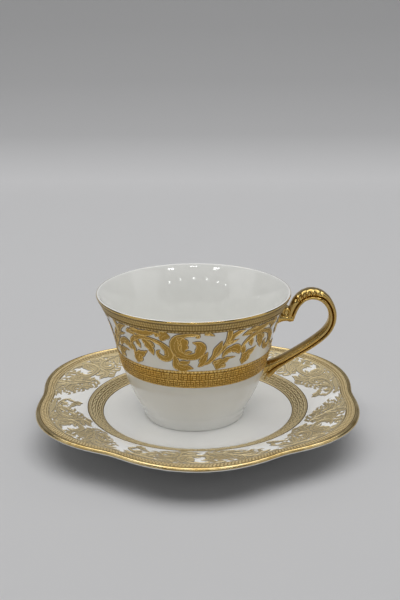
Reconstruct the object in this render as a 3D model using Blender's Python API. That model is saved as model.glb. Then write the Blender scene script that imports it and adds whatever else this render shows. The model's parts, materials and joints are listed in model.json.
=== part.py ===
"""A porcelain teacup on its six-lobed saucer: the fired pieces, and the layers applied to them.

Metres, +Z up. The origin is on the table, under the centre of the saucer. The cup stands in the
saucer's well, a little to the left of its centre, with its handle towards +X.
The cup and its handle are modelled about the cup's own axis, with the foot ring's flat at zero.
"""

from math import cos, pi, radians, sin, sqrt

import bmesh
import bpy

MM = 0.001
GAP = 0.3 * MM  # between pieces that touch
SKIN = 0.5 * MM  # thickness of a transfer or of gilding

# Saucer
SAUCER_RADIUS = 80.0 * MM  # over the gilding, at the middle of a lobe
LOBES = 6
NOTCH_DEPTH = 5.1 * MM  # how far the edge pulls in between two lobes
NOTCH_ROUNDNESS = 0.24  # 0 is a corner
WELL_HEIGHT = 6.0 * MM  # the well's floor above the table
WELL_FLAT_RADIUS = 33.0 * MM
WELL_THICKNESS = 3.4 * MM
WELL_BAND_RADIUS = 45.5 * MM  # inner edge of the band round the well
WELL_BAND_WIDTH = 7.6 * MM
WELL_BAND_RISE = (1.9 * MM, 4.7 * MM)  # its inner and outer edge above the floor
EDGE_RISE = 9.8 * MM
EDGE_THICKNESS = 2.0 * MM
EDGE_BAND_WIDTH = 5.6 * MM
SAUCER_FOOT_RADIUS = 45.0 * MM
SAUCER_FOOT_WIDTH = 3.2 * MM
SAUCER_STEPS = 60

# Cup
RIM_RADIUS = 45.0 * MM
CUP_HEIGHT = 61.2 * MM
FOOT_RADIUS = 23.6 * MM
FOOT_WIDTH = 3.0 * MM
FOOT_RECESS = 2.4 * MM
FOOT_RING_HEIGHT = 5.2 * MM
FOOT_CHAMFER = 0.5 * MM
FLOOR_THICKNESS = 3.4 * MM
WALL_THICKNESS = 2.2 * MM
RIM_THICKNESS = 1.6 * MM
BELLY_PULL = (14.5 * MM, 17.2 * MM)  # the wall leaves the foot ring towards this offset
FLARE_PULL = (11.9 * MM, 25.6 * MM)  # and comes to the rim from this far in and down
CUP_OFFSET = -1.6 * MM  # the cup's axis from the saucer's centre
CUP_STEPS = 48

# Layers on the cup, as (top, bottom) below the rim
LIP_GILDING = 1.0 * MM
RIM_BAND = (1.5 * MM, 6.1 * MM)
SCROLL_ZONE = (6.5 * MM, 25.9 * MM)
WAIST_BAND = (26.3 * MM, 34.2 * MM)
SCROLL_SECTIONS = 4
HANDLE_CLEARING = 1.6 * MM  # bare glaze on each side of the handle

# Handle
HANDLE_THICKNESS = 6.4 * MM
HANDLE_SPAN = 22.2 * MM  # outermost point beyond the rim
HANDLE_RISE = 1.0 * MM  # top of the arch above the rim
HANDLE_DROP = 39.4 * MM  # middle of the lower root below the rim
ROOT_DEPTH = 1.5 * MM  # how far the strap is drawn into the wall before it is trimmed
VOLUTE_RADIUS = 2.3 * MM
VOLUTE_WIDTH = 7.6 * MM
VOLUTE_PLACE = (-1.5 * MM, -10.1 * MM)  # out from the rim's edge, and up from it
SPUR_PLACE = (0.6 * MM, -14.2 * MM)
SPUR_SIZE = 2.4 * MM

PORCELAIN = (0.87, 0.87, 0.85)
GOLD = (0.72, 0.48, 0.16)
PALE_GOLD = (0.76, 0.61, 0.36)


def clear_scene():
    for obj in list(bpy.data.objects):
        bpy.data.objects.remove(obj)


def material(name, color, roughness, metallic):
    mat = bpy.data.materials.new(name)
    mat.use_nodes = True
    shader = mat.node_tree.nodes["Principled BSDF"]
    shader.inputs["Base Color"].default_value = (*color, 1.0)
    shader.inputs["Roughness"].default_value = roughness
    shader.inputs["Metallic"].default_value = metallic
    return mat


def finished(name, bm, mat, parent=None):
    """Turns the faces out and puts the mesh in the scene as one shaded object."""
    bmesh.ops.recalc_face_normals(bm, faces=bm.faces)
    mesh = bpy.data.meshes.new(name)
    bm.to_mesh(mesh)
    bm.free()
    mesh.shade_smooth()
    mesh.set_sharp_from_angle(angle=radians(35))
    mesh.materials.append(mat)
    obj = bpy.data.objects.new(name, mesh)
    obj.parent = parent
    bpy.context.scene.collection.objects.link(obj)
    return obj


def full_turn(steps):
    return [2 * pi * i / steps for i in range(steps)]


def part_turn(start, end, steps):
    """Angles from start to end with the whole steps between them, so that layers stay parallel."""
    step = 2 * pi / steps
    whole = [i * step for i in range(steps + 1) if start + step / 5 < i * step < end - step / 5]
    return [start, *whole, end]


def no_push(radius, angle):
    return 0.0


def turned(profile, angles, push=no_push):
    """A bmesh of a (radius, height) outline turned through the angles, pushed out by push().

    A full turn of an outline that starts and ends on the axis is closed there by two points.
    Any other outline is a closed loop, and a part turn is capped at both ends.
    """
    bm = bmesh.new()
    on_axis = profile[0][0] == 0.0
    loop = profile[1:-1] if on_axis else profile
    rings = []
    for angle in angles:
        radii = [r + push(r, angle) for r, _ in loop]
        points = [(r * cos(angle), r * sin(angle), z) for r, (_, z) in zip(radii, loop)]
        rings.append([bm.verts.new(point) for point in points])
    whole_turn = angles[-1] - angles[0] > 2 * pi - 1.5 * (angles[1] - angles[0])
    next_rings = rings[1:] + rings[:1] if whole_turn else rings[1:]
    for ring, following in zip(rings, next_rings):
        last = len(loop) - 1 if on_axis else len(loop)
        for i in range(last):
            j = (i + 1) % len(loop)
            bm.faces.new((ring[i], ring[j], following[j], following[i]))
    if on_axis:
        for end, (_, height) in ((0, profile[0]), (-1, profile[-1])):
            pole = bm.verts.new((0.0, 0.0, height))
            for ring, following in zip(rings, next_rings):
                bm.faces.new((pole, ring[end], following[end]))
    elif not whole_turn:
        bm.faces.new(rings[0])
        bm.faces.new(rings[-1])
    return bm


def height_at(line, x):
    """The height of a broken line of (x, height) at x."""
    for (x0, y0), (x1, y1) in zip(line, line[1:]):
        if x <= x1:
            return y0 + (y1 - y0) * (x - x0) / (x1 - x0)
    return line[-1][1]


# ---- Saucer ----

WELL_BAND_OUTER = WELL_BAND_RADIUS + WELL_BAND_WIDTH
BARE_EDGE = SAUCER_RADIUS - SKIN - GAP  # radius of the porcelain inside its gilding
EDGE_BAND_OUTER = BARE_EDGE - EDGE_THICKNESS / 2 - GAP
EDGE_BAND_INNER = EDGE_BAND_OUTER - EDGE_BAND_WIDTH


def lobe_push(radius, angle):
    """The edge pulls in between the lobes. The pull fades out towards the well's band."""
    wave = abs(sin(LOBES * angle / 2))
    k = NOTCH_ROUNDNESS
    lobe = (sqrt(wave * wave + k * k) - k) / (sqrt(1 + k * k) - k)
    share = (radius - WELL_BAND_OUTER) / (SAUCER_RADIUS - WELL_BAND_OUTER)
    return -NOTCH_DEPTH * (1 - lobe) * max(0.0, share)


def saucer_top(radius):
    """Height of the saucer's glazed top above the table."""
    low, high = WELL_BAND_RISE
    line = (
        (0.0, 0.0),
        (WELL_FLAT_RADIUS, 0.0),
        ((WELL_FLAT_RADIUS + WELL_BAND_RADIUS) / 2, low / 3),
        (WELL_BAND_RADIUS, low),
        (WELL_BAND_OUTER, high),
        (SAUCER_RADIUS, EDGE_RISE),
    )
    return WELL_HEIGHT + height_at(line, radius)


def saucer_plate(mat):
    foot_in = SAUCER_FOOT_RADIUS - SAUCER_FOOT_WIDTH
    under_well = WELL_HEIGHT - WELL_THICKNESS
    lip = EDGE_THICKNESS / 2
    top_radii = (
        WELL_FLAT_RADIUS,
        (WELL_FLAT_RADIUS + WELL_BAND_RADIUS) / 2,
        WELL_BAND_RADIUS,
        WELL_BAND_OUTER,
        EDGE_BAND_INNER,
        BARE_EDGE - lip,
    )
    profile = [(0.0, WELL_HEIGHT)]
    profile += [(r, saucer_top(r)) for r in top_radii]
    profile += [
        (BARE_EDGE, saucer_top(BARE_EDGE) - lip),
        (BARE_EDGE - lip, saucer_top(BARE_EDGE - lip) - 2 * lip),
        (WELL_BAND_OUTER, saucer_top(WELL_BAND_OUTER) - 2.6 * lip),
        (SAUCER_FOOT_RADIUS + WELL_THICKNESS / 2, under_well + FOOT_CHAMFER),
        (SAUCER_FOOT_RADIUS, FOOT_CHAMFER),
        (SAUCER_FOOT_RADIUS - FOOT_CHAMFER, 0.0),
        (foot_in + FOOT_CHAMFER, 0.0),
        (foot_in, FOOT_CHAMFER),
        (foot_in - WELL_THICKNESS / 2, under_well),
        (0.0, under_well),
    ]
    return finished("saucer_plate", turned(profile, full_turn(SAUCER_STEPS), lobe_push), mat)


def saucer_layer(name, inner, outer, angles, mat):
    """A thin layer on the saucer's top, a gap above the glaze, between two radii."""
    loop = [(r, saucer_top(r) + GAP) for r in (inner, outer)]
    loop += [(r, saucer_top(r) + GAP + SKIN) for r in (outer, inner)]
    return finished(name, turned(loop, angles, lobe_push), mat)


def saucer_edge_gilding(mat):
    """Wraps the lip of the edge, from the top round to just under it."""
    lip = EDGE_THICKNESS / 2
    middle = saucer_top(BARE_EDGE) - lip
    below = BARE_EDGE - lip / 2
    loop = [
        (EDGE_BAND_OUTER + GAP, saucer_top(EDGE_BAND_OUTER) + GAP),
        (BARE_EDGE + GAP, middle + GAP),
        (BARE_EDGE + GAP, middle - GAP),
        (below, middle - lip - GAP),
        (below, middle - lip - GAP - SKIN),
        (SAUCER_RADIUS, middle - GAP),
        (SAUCER_RADIUS, middle + GAP),
        (EDGE_BAND_OUTER + GAP, saucer_top(EDGE_BAND_OUTER) + GAP + SKIN),
    ]
    bm = turned(loop, full_turn(SAUCER_STEPS), lobe_push)
    return finished("saucer_edge_gilding", bm, mat)


def saucer(porcelain, gold, pale_gold):
    saucer_plate(porcelain)
    saucer_edge_gilding(gold)
    around = full_turn(SAUCER_STEPS)
    saucer_layer("saucer_edge_band", EDGE_BAND_INNER, EDGE_BAND_OUTER, around, gold)
    saucer_layer("saucer_well_band", WELL_BAND_RADIUS, WELL_BAND_OUTER, around, gold)
    half_gap = GAP / WELL_BAND_OUTER
    for i in range(LOBES):
        start = 2 * pi * i / LOBES + half_gap
        end = 2 * pi * (i + 1) / LOBES - half_gap
        angles = part_turn(start, end, SAUCER_STEPS)
        reach = (WELL_BAND_OUTER + GAP, EDGE_BAND_INNER - GAP)
        saucer_layer(f"saucer_scroll_{i + 1}", *reach, angles, pale_gold)


# ---- Cup ----

def wall_line(points=14):
    """The cup's outer wall as (height, radius): the waisted foot ring, the belly, the flare."""
    start = (FOOT_RADIUS, FOOT_RING_HEIGHT)
    belly = (start[0] + BELLY_PULL[0], start[1] + BELLY_PULL[1])
    flare = (RIM_RADIUS - FLARE_PULL[0], CUP_HEIGHT - FLARE_PULL[1])
    rim = (RIM_RADIUS, CUP_HEIGHT)
    line = [(FOOT_CHAMFER, FOOT_RADIUS), (FOOT_RING_HEIGHT / 2, FOOT_RADIUS - FOOT_CHAMFER)]
    for i in range(points):
        t = i / (points - 1)
        shares = ((1 - t) ** 3, 3 * t * (1 - t) ** 2, 3 * t * t * (1 - t), t ** 3)
        radius, height = (
            sum(share * point[axis] for share, point in zip(shares, (start, belly, flare, rim)))
            for axis in (0, 1)
        )
        line.append((height, radius))
    return line


def wall_radius(height):
    return height_at(wall_line(), height)


def cup_bowl(mat, stand):
    floor = FOOT_RECESS + FLOOR_THICKNESS
    foot_in = FOOT_RADIUS - FOOT_WIDTH
    top = CUP_HEIGHT - GAP - SKIN
    lip = RIM_THICKNESS / 2
    outer = [(r, z) for z, r in wall_line() if z < top - lip / 2]
    inner = []
    for z, r in wall_line():
        if floor + WALL_THICKNESS < z < top - lip / 2:
            share = z / CUP_HEIGHT
            # The wall thins towards the rim and leans, so its level width is a little more.
            wall = 1.15 * (WALL_THICKNESS + (RIM_THICKNESS - WALL_THICKNESS) * share)
            inner.append((r - wall, z))
    middle = wall_radius(top) - 1.1 * lip
    profile = [(0.0, floor), (inner[0][0] - 1.6 * WALL_THICKNESS, floor + 0.2 * WALL_THICKNESS)]
    profile += inner
    profile.append((middle, top))
    profile += reversed(outer)
    profile += [
        (FOOT_RADIUS - FOOT_CHAMFER, 0.0),
        (foot_in + FOOT_CHAMFER, 0.0),
        (foot_in, FOOT_CHAMFER),
        (foot_in - FOOT_RECESS / 2, FOOT_RECESS),
        (0.0, FOOT_RECESS),
    ]
    return finished("cup_bowl", turned(profile, full_turn(CUP_STEPS)), mat, stand)


def cup_layer(name, band, angles, mat, stand):
    """A thin layer round the outer wall, a gap off the glaze, between two depths below the rim."""
    high, low = (CUP_HEIGHT - depth for depth in band)
    margin = 1.5 * MM
    between = [z for z, _ in wall_line() if low + margin < z < high - margin]
    heights = [low, *between, high]
    loop = [(wall_radius(z) + GAP, z) for z in heights]
    loop += [(wall_radius(z) + GAP + SKIN, z) for z in reversed(heights)]
    return finished(name, turned(loop, angles), mat, stand)


def cup_lip_gilding(mat, stand):
    """A fine line over the lip and down its outside."""
    top = CUP_HEIGHT - GAP - SKIN
    middle = wall_radius(top) - 0.55 * RIM_THICKNESS
    low = CUP_HEIGHT - LIP_GILDING
    inside = wall_radius(top) + GAP
    loop = [
        (middle, top + GAP),
        (inside, top + GAP),
        (inside, low),
        (inside + SKIN, low),
        (inside + SKIN, top + GAP),
        (inside, top + GAP + SKIN),
        (middle, top + GAP + SKIN),
    ]
    return finished("cup_lip_gilding", turned(loop, full_turn(CUP_STEPS)), mat, stand)


def cup_layers(gold, stand):
    around = full_turn(CUP_STEPS)
    cup_lip_gilding(gold, stand)
    cup_layer("cup_rim_band", RIM_BAND, around, gold, stand)
    cup_layer("cup_waist_band", WAIST_BAND, around, gold, stand)
    clear_angle = (VOLUTE_WIDTH / 2 + HANDLE_CLEARING) / wall_radius(CUP_HEIGHT - SCROLL_ZONE[0])
    span = (2 * pi - 2 * clear_angle) / SCROLL_SECTIONS
    half_gap = GAP / RIM_RADIUS
    for i in range(SCROLL_SECTIONS):
        start = clear_angle + i * span + half_gap
        angles = part_turn(start, start + span - 2 * half_gap, CUP_STEPS)
        cup_layer(f"cup_scroll_{i + 1}", SCROLL_ZONE, angles, gold, stand)


# ---- Handle ----

def handle_route():
    """The strap's middle line from the upper root to the lower, as (x, z, strap width)."""
    upper_root = CUP_HEIGHT + SPUR_PLACE[1] + SPUR_SIZE / 4
    lower_root = CUP_HEIGHT - HANDLE_DROP
    out, up = RIM_RADIUS, CUP_HEIGHT
    return (
        (wall_radius(upper_root) - ROOT_DEPTH, upper_root - 0.8 * MM, 3.6 * MM),
        (out - 0.9 * MM, upper_root, 3.4 * MM),
        (out + 2.4 * MM, up - 7.8 * MM, 4.6 * MM),
        (out + 9.4 * MM, up + HANDLE_RISE - 2.7 * MM, 5.3 * MM),
        (out + HANDLE_SPAN - 2.0 * MM, up - 11.4 * MM, 4.0 * MM),
        (out + HANDLE_SPAN - 6.3 * MM, up - 21.8 * MM, 4.5 * MM),
        (out + HANDLE_SPAN - 22.6 * MM, up - 33.5 * MM, 4.4 * MM),
        (wall_radius(lower_root) - ROOT_DEPTH, lower_root, 5.4 * MM),
    )


def strap_mesh(points_per_stretch=6):
    """The strap as a bevelled curve through its route, flattened to the handle's thickness."""
    curve = bpy.data.curves.new("handle_route", "CURVE")
    curve.dimensions = "3D"
    curve.resolution_u = points_per_stretch
    curve.bevel_depth = HANDLE_THICKNESS / 2
    curve.bevel_resolution = 3
    curve.use_fill_caps = True
    spline = curve.splines.new("BEZIER")
    route = handle_route()
    spline.bezier_points.add(len(route) - 1)
    for point, (x, z, width) in zip(spline.bezier_points, route):
        point.co = (x, 0.0, z)
        point.radius = width / HANDLE_THICKNESS
        point.handle_left_type = "AUTO"
        point.handle_right_type = "AUTO"
    guide = bpy.data.objects.new("handle_route", curve)
    mesh = bpy.data.meshes.new_from_object(guide)
    bpy.data.objects.remove(guide)
    widest = max(width for _, _, width in route)
    for vertex in mesh.vertices:
        vertex.co.y *= HANDLE_THICKNESS / widest
    return mesh


def helper(name, bm, stand):
    """A solid that a Boolean uses, kept out of the model."""
    bmesh.ops.recalc_face_normals(bm, faces=bm.faces)
    mesh = bpy.data.meshes.new(name)
    bm.to_mesh(mesh)
    bm.free()
    obj = bpy.data.objects.new(name, mesh)
    obj.parent = stand
    obj.hide_render = True
    obj.display_type = "WIRE"
    bpy.context.scene.collection.objects.link(obj)
    return obj


def bar_across(place, radius, width, sides, stand, name):
    """A round or faceted bar along Y, at a place given out and up from the rim's edge."""
    bm = bmesh.new()
    x = RIM_RADIUS + place[0]
    z = CUP_HEIGHT + place[1]
    ends = []
    for y, share in ((-width / 2, 0.7), (-width / 3, 1.0), (width / 3, 1.0), (width / 2, 0.7)):
        ring = []
        for angle in full_turn(sides):
            ring.append(bm.verts.new((x + share * radius * cos(angle), y, z + share * radius * sin(angle))))
        ends.append(ring)
    for a, b in zip(ends, ends[1:]):
        for i in range(sides):
            j = (i + 1) % sides
            bm.faces.new((a[i], a[j], b[j], b[i]))
    bm.faces.new(ends[0])
    bm.faces.new(ends[-1])
    return helper(name, bm, stand)


def wall_clearance(stand):
    """The cup's outer wall grown by the gap, which trims both roots of the handle to fit it."""
    line = wall_line()
    profile = [(0.0, CUP_HEIGHT + GAP), (RIM_RADIUS + GAP, CUP_HEIGHT + GAP)]
    profile += [(r + GAP, z) for z, r in reversed(line)]
    profile.append((0.0, line[0][0]))
    return helper("wall_clearance", turned(profile, full_turn(CUP_STEPS)), stand)


def cup_handle(mat, stand):
    mesh = strap_mesh()
    mesh.materials.append(mat)
    handle = bpy.data.objects.new("cup_handle", mesh)
    handle.parent = stand
    bpy.context.scene.collection.objects.link(handle)
    volute = bar_across(VOLUTE_PLACE, VOLUTE_RADIUS, VOLUTE_WIDTH, 12, stand, "volute")
    spur = bar_across(SPUR_PLACE, SPUR_SIZE, 0.8 * HANDLE_THICKNESS, 4, stand, "spur")
    steps = (("UNION", volute), ("UNION", spur), ("DIFFERENCE", wall_clearance(stand)))
    for operation, other in steps:
        boolean = handle.modifiers.new(other.name, "BOOLEAN")
        boolean.operation = operation
        boolean.object = other
    mesh.shade_smooth()
    mesh.set_sharp_from_angle(angle=radians(40))
    return handle


def main():
    clear_scene()
    porcelain = material("glazed_porcelain", PORCELAIN, 0.08, 0.0)
    gold = material("burnished_gold", GOLD, 0.22, 1.0)
    pale_gold = material("pale_gold", PALE_GOLD, 0.3, 1.0)
    saucer(porcelain, gold, pale_gold)
    stand = bpy.data.objects.new("cup_stand", None)
    stand.location = (CUP_OFFSET, 0.0, WELL_HEIGHT + GAP)
    bpy.context.scene.collection.objects.link(stand)
    cup_bowl(porcelain, stand)
    cup_layers(gold, stand)
    cup_handle(gold, stand)


main()
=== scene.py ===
"""A gilded porcelain teacup on its six-lobed saucer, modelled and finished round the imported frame."""

import json
from math import atan2, cos, hypot, pi, radians, sin, sqrt

import bpy
import numpy as np
from mathutils import Matrix, Vector

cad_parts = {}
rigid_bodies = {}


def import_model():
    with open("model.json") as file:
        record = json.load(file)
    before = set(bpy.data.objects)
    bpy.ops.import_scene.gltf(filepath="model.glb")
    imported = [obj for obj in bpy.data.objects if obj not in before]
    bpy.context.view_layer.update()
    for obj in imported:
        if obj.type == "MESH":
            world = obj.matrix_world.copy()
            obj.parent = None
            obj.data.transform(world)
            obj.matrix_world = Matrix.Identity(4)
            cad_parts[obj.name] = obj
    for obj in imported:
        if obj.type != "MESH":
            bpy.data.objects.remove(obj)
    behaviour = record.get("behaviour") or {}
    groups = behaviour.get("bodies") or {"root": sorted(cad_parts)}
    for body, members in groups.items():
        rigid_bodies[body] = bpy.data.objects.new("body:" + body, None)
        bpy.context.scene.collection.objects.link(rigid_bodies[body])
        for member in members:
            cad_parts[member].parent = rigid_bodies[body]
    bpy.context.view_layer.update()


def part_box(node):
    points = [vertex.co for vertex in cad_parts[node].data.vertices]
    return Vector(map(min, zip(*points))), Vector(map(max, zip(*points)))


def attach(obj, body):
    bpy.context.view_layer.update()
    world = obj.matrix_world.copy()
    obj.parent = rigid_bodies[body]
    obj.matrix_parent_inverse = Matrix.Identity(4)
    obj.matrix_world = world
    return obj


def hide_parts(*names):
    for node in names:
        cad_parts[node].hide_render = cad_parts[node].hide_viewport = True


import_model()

MM = 0.001

# ---- Places and sizes taken from the frame --------------------------------------------------

lip_low, lip_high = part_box("cup_lip_gilding")
bowl_low, bowl_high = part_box("cup_bowl")
plate_low, plate_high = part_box("saucer_plate")
edge_low, edge_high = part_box("saucer_edge_gilding")
well_band_low, well_band_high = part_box("saucer_well_band")
edge_band_low, edge_band_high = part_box("saucer_edge_band")
waist_low, waist_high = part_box("cup_waist_band")
rim_band_low, rim_band_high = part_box("cup_rim_band")
handle_low, handle_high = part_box("cup_handle")

CUP_X = (lip_low.x + lip_high.x) / 2
FOOT_Z = bowl_low.z - 0.25 * MM  # the foot ring's flat rests on the glaze of the well
RIM_Z = lip_high.z
RIM_R = (lip_high.y - lip_low.y) / 2 - 0.5 * MM
CUP_H = RIM_Z - FOOT_Z
FOOT_R = 23.6 * MM
FOOT_RING_H = 5.4 * MM
BELLY_PULL = (14.5 * MM, 17.2 * MM)
FLARE_PULL = (11.9 * MM, 25.6 * MM)
WALL = 2.1 * MM
RIM_WALL = 1.3 * MM
CUP_FLOOR = 5.8 * MM

SAUCER_R = edge_high.y
WELL_Z = 6.0 * MM
WELL_FLAT_R = 33.0 * MM
BAND_R = 45.5 * MM
BAND_OUT_R = well_band_high.y
LOBES = 6
NOTCH = 5.1 * MM
NOTCH_ROUND = 0.24
EDGE_RISE = 9.8 * MM

CUP_SEGMENTS = 192
SAUCER_SEGMENTS = 240


# ---- Curves and surfaces --------------------------------------------------------------------

def smooth_line(points, per_stretch):
    """A Catmull-Rom curve through the points, as an array."""
    p = np.array(points, float)
    p = np.vstack([2 * p[0] - p[1], p, 2 * p[-1] - p[-2]])
    out = []
    for a, b, c, d in zip(p, p[1:], p[2:], p[3:]):
        for i in range(per_stretch):
            t = i / per_stretch
            out.append(0.5 * (2 * b + (c - a) * t + (2 * a - 5 * b + 4 * c - d) * t * t
                              + (3 * b - a - 3 * c + d) * t ** 3))
    out.append(p[-2])
    return np.array(out)


LIP_FLARE = 1.0 * MM  # how much more the wall turns out at the lip
LIP_FLARE_FROM = 50 * MM


def cup_wall_line(count=80):
    """Outer wall of the cup above its foot ring, as arrays of height and radius."""
    start = np.array((FOOT_R, FOOT_RING_H))
    rim = np.array((RIM_R, CUP_H))
    belly = start + np.array(BELLY_PULL)
    flare = rim - np.array(FLARE_PULL)
    t = np.linspace(0, 1, count)[:, None]
    line = (1 - t) ** 3 * start + 3 * t * (1 - t) ** 2 * belly + 3 * t * t * (1 - t) * flare + t ** 3 * rim
    near_lip = np.clip((line[:, 1] - LIP_FLARE_FROM) / (CUP_H - LIP_FLARE_FROM), 0, 1)
    return line[:, 1], line[:, 0] + LIP_FLARE * near_lip ** 2


WALL_HEIGHTS, WALL_RADII = cup_wall_line()
WALL_SLOPES = np.gradient(WALL_RADII, WALL_HEIGHTS)


def on_cup(angle, height, lift):
    """A point on the cup's outer wall, lifted off it along its normal."""
    radius = np.interp(height, WALL_HEIGHTS, WALL_RADII)
    slope = np.interp(height, WALL_HEIGHTS, WALL_SLOPES)
    norm = np.sqrt(1 + slope * slope)
    r = radius + lift / norm
    z = height - lift * slope / norm
    return np.stack([CUP_X + r * np.cos(angle), r * np.sin(angle), FOOT_Z + z], -1)


# the saucer's top from the flat of its well to its edge, as (radius, height above the well)
SAUCER_LINE = smooth_line(
    (
        (WELL_FLAT_R, 0.0),
        (39.5 * MM, 0.55 * MM),
        (BAND_R, 1.9 * MM),
        (BAND_OUT_R, 4.7 * MM),
        (62.0 * MM, 6.75 * MM),
        (71.0 * MM, 8.35 * MM),
        (SAUCER_R, EDGE_RISE),
    ),
    10,
)


def saucer_height(radius):
    return WELL_Z + np.interp(radius, SAUCER_LINE[:, 0], SAUCER_LINE[:, 1])


def lobe_shift(radius, angle):
    """How far a point of the flange is drawn in between two lobes."""
    wave = np.abs(np.sin(LOBES * angle / 2))
    k = NOTCH_ROUND
    lobe = (np.sqrt(wave * wave + k * k) - k) / (sqrt(1 + k * k) - k)
    share = np.clip((radius - BAND_OUT_R) / (SAUCER_R - BAND_OUT_R), 0, None)
    return -NOTCH * (1 - lobe) * share


def on_saucer(angle, radius, lift):
    """A point on the saucer's top, lifted off the glaze. The edge follows the six lobes."""
    r = radius + lobe_shift(radius, angle)
    z = saucer_height(radius) + lift
    return np.stack([r * np.cos(angle), r * np.sin(angle), z + 0 * angle], -1)


# ---- Making meshes --------------------------------------------------------------------------

def new_object(name, points, faces, materials, face_slots=None):
    """A piece from its own points and faces, with doubles merged and normals outward."""
    mesh = bpy.data.meshes.new(name)
    mesh.from_pydata([tuple(p) for p in points], [], faces)
    for mat in materials:
        mesh.materials.append(mat)
    if face_slots is not None:
        mesh.polygons.foreach_set("material_index", np.array(face_slots, np.int32))
    mesh.update()
    obj = bpy.data.objects.new(name, mesh)
    bpy.context.scene.collection.objects.link(obj)
    only(obj)
    bpy.ops.object.mode_set(mode="EDIT")
    bpy.ops.mesh.select_all(action="SELECT")
    bpy.ops.mesh.remove_doubles(threshold=1e-6)
    bpy.ops.mesh.normals_make_consistent(inside=False)
    bpy.ops.object.mode_set(mode="OBJECT")
    bpy.ops.object.shade_smooth_by_angle(angle=radians(40))
    return obj


def only(obj):
    """Selects this piece alone."""
    bpy.ops.object.select_all(action="DESELECT")
    obj.select_set(True)
    bpy.context.view_layer.objects.active = obj


def ring_faces(rows, columns, first=0, wrap_rows=True, wrap_columns=True):
    """Quads of a grid of rows and columns of points, which may close on itself both ways."""
    faces = []
    for i in range(rows if wrap_rows else rows - 1):
        for j in range(columns if wrap_columns else columns - 1):
            a = first + i * columns + j
            b = first + i * columns + (j + 1) % columns
            c = first + ((i + 1) % rows) * columns + (j + 1) % columns
            d = first + ((i + 1) % rows) * columns + j
            faces.append((a, b, c, d))
    return faces


def lobed(obj):
    """Draws a round piece in to the saucer's six lobes."""
    co = np.empty(len(obj.data.vertices) * 3)
    obj.data.vertices.foreach_get("co", co)
    co = co.reshape(-1, 3)
    radii = np.hypot(co[:, 0], co[:, 1])
    angles = np.arctan2(co[:, 1], co[:, 0])
    grow = 1 + lobe_shift(radii, angles) / np.maximum(radii, 1e-6)
    co[:, :2] *= grow[:, None]
    obj.data.vertices.foreach_set("co", co.ravel())
    obj.data.update()


def thrown(name, profile, segments, centre, materials, lobes=False):
    """Turned on the wheel by hand: a circle raised ring by ring along a (radius, height) profile.

    A profile that ends on the axis is closed there. Any other profile closes on itself.
    """
    bpy.ops.object.select_all(action="DESELECT")
    loop = [p for p in profile if p[0] > 1e-6]
    on_axis = len(loop) < len(profile)
    bpy.ops.mesh.primitive_circle_add(
        vertices=segments, radius=loop[0][0], fill_type="NOTHING", location=(0, 0, loop[0][1]))
    obj = bpy.context.active_object
    obj.name = name
    obj.data.name = name
    bpy.ops.object.transform_apply(location=True, rotation=True, scale=True)
    bpy.ops.object.mode_set(mode="EDIT")
    bpy.ops.mesh.select_all(action="SELECT")
    radius, height = loop[0]
    for next_radius, next_height in loop[1:]:
        bpy.ops.mesh.extrude_edges_move(
            TRANSFORM_OT_translate={"value": (0, 0, next_height - height)})
        grow = next_radius / radius
        bpy.ops.transform.resize(value=(grow, grow, 1), center_override=(0, 0, next_height))
        radius, height = next_radius, next_height
    if on_axis:
        bpy.ops.mesh.select_all(action="SELECT")
        bpy.ops.mesh.region_to_loop()
        bpy.ops.mesh.fill_holes(sides=0)
    else:
        bpy.ops.mesh.select_all(action="SELECT")
        bpy.ops.mesh.region_to_loop()
        bpy.ops.mesh.bridge_edge_loops()
    bpy.ops.mesh.select_all(action="SELECT")
    bpy.ops.mesh.normals_make_consistent(inside=False)
    bpy.ops.object.mode_set(mode="OBJECT")
    if lobes:
        lobed(obj)
    obj.location = centre
    bpy.ops.object.transform_apply(location=True, rotation=True, scale=True)
    for mat in materials:
        obj.data.materials.append(mat)
    bpy.ops.object.shade_smooth_by_angle(angle=radians(40))
    return obj


# ---- Finishes -------------------------------------------------------------------------------

def new_material(name, color, roughness, metallic=0.0, **sockets):
    mat = bpy.data.materials.new(name)
    mat.use_nodes = True
    shader = mat.node_tree.nodes["Principled BSDF"]
    shader.inputs["Base Color"].default_value = (*color, 1)
    shader.inputs["Roughness"].default_value = roughness
    shader.inputs["Metallic"].default_value = metallic
    for socket, value in sockets.items():
        shader.inputs[socket.replace("_", " ")].default_value = value
    return mat


def node(mat, kind, **values):
    made = mat.node_tree.nodes.new(kind)
    for key, value in values.items():
        if key in made.inputs:
            made.inputs[key].default_value = value
        else:
            setattr(made, key, value)
    return made


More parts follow.
